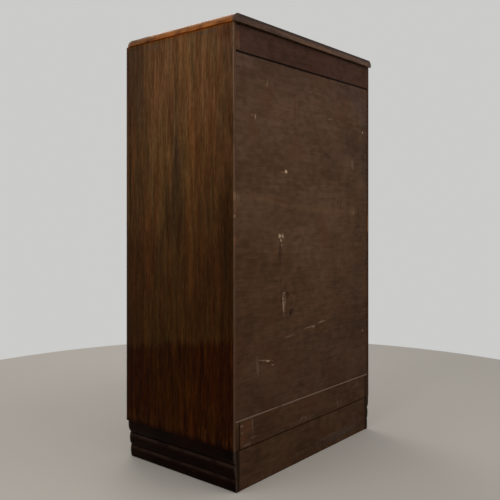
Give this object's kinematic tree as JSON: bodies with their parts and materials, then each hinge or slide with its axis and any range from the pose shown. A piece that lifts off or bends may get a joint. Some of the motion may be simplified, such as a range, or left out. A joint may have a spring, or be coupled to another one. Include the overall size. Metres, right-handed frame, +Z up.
{
  "type": "tallboy",
  "caption": "Walnut-veneered tallboy with rounded front corners: a cupboard with doors over drawers, a moulded top, a framed back and a reeded dark plinth.",
  "frame": {"origin": "on the floor, at the middle of the box that holds the whole piece, knobs included", "axes": "+Z up, -Y the front with doors and drawers, +Y the back, +X the right-hand side as seen from the front"},
  "size_m": [0.721, 0.483, 1.27],
  "materials": {
    "walnut_veneer": "polished, straight vertical grain",
    "walnut_lipping": "polished, redder than the veneer",
    "ebonised_wood": "dark polish, rubbed",
    "stained_back": "thin dull stain",
    "beech": "bare",
    "plywood": "bare",
    "brass": "dull"
  },
  "bodies": {
    "case": {"plinth_left": "ebonised_wood", "plinth_right": "ebonised_wood", "plinth_front": "ebonised_wood", "plinth_back": "stained_back", "front_post_left": "walnut_veneer", "front_post_right": "walnut_veneer", "side_panel_left": "walnut_veneer", "side_panel_right": "walnut_veneer", "rear_post_left": "stained_back", "rear_post_right": "stained_back", "drawer_rail_lower": "walnut_veneer", "drawer_rail_upper": "walnut_veneer", "top_front_rail": "walnut_veneer", "bottom_board": "beech", "cupboard_floor": "walnut_veneer", "shelf": "beech", "shelf_bearer_left": "beech", "shelf_bearer_right": "beech", "drawer_runner_lower_left": "beech", "drawer_runner_lower_right": "beech", "drawer_runner_upper_left": "beech", "drawer_runner_upper_right": "beech", "back_rail_upper": "stained_back", "back_rail_lower": "stained_back", "back_panel": "stained_back", "top_board": "walnut_veneer", "top_lipping": "walnut_lipping", "hinge_left_lower_post_leaf": "brass", "hinge_left_upper_post_leaf": "brass", "hinge_right_lower_post_leaf": "brass", "hinge_right_upper_post_leaf": "brass"},
    "door_left": {"door_left": "walnut_veneer", "door_left_knob": "walnut_lipping", "hinge_left_lower_door_leaf": "brass", "hinge_left_upper_door_leaf": "brass"},
    "door_right": {"door_right": "walnut_veneer", "door_right_knob": "walnut_lipping", "hinge_right_lower_door_leaf": "brass", "hinge_right_upper_door_leaf": "brass"},
    "drawer_lower": {"drawer_lower_front": "walnut_veneer", "drawer_lower_side_left": "beech", "drawer_lower_side_right": "beech", "drawer_lower_back": "beech", "drawer_lower_bottom": "plywood", "drawer_lower_knob_left": "walnut_lipping", "drawer_lower_knob_right": "walnut_lipping"},
    "drawer_middle": {"drawer_middle_front": "walnut_veneer", "drawer_middle_side_left": "beech", "drawer_middle_side_right": "beech", "drawer_middle_back": "beech", "drawer_middle_bottom": "plywood", "drawer_middle_knob_left": "walnut_lipping", "drawer_middle_knob_right": "walnut_lipping"},
    "drawer_upper": {"drawer_upper_front": "walnut_veneer", "drawer_upper_side_left": "beech", "drawer_upper_side_right": "beech", "drawer_upper_back": "beech", "drawer_upper_bottom": "plywood", "drawer_upper_knob_left": "walnut_lipping", "drawer_upper_knob_right": "walnut_lipping"}
  },
  "joints": [
    {"name": "door_left_swing", "type": "hinge", "parent": "case", "child": "door_left", "pos_m": [-0.32875, -0.2189, 0.973], "axis": [0, 0, -1], "range_deg": [0, 170]},
    {"name": "door_right_swing", "type": "hinge", "parent": "case", "child": "door_right", "pos_m": [0.32875, -0.2189, 0.973], "axis": [0, 0, 1], "range_deg": [0, 170]},
    {"name": "drawer_lower_slide", "type": "slide", "parent": "case", "child": "drawer_lower", "axis": [0, -1, 0], "range_m": [0, 0.3]},
    {"name": "drawer_middle_slide", "type": "slide", "parent": "case", "child": "drawer_middle", "axis": [0, -1, 0], "range_m": [0, 0.3]},
    {"name": "drawer_upper_slide", "type": "slide", "parent": "case", "child": "drawer_upper", "axis": [0, -1, 0], "range_m": [0, 0.3]}
  ]
}
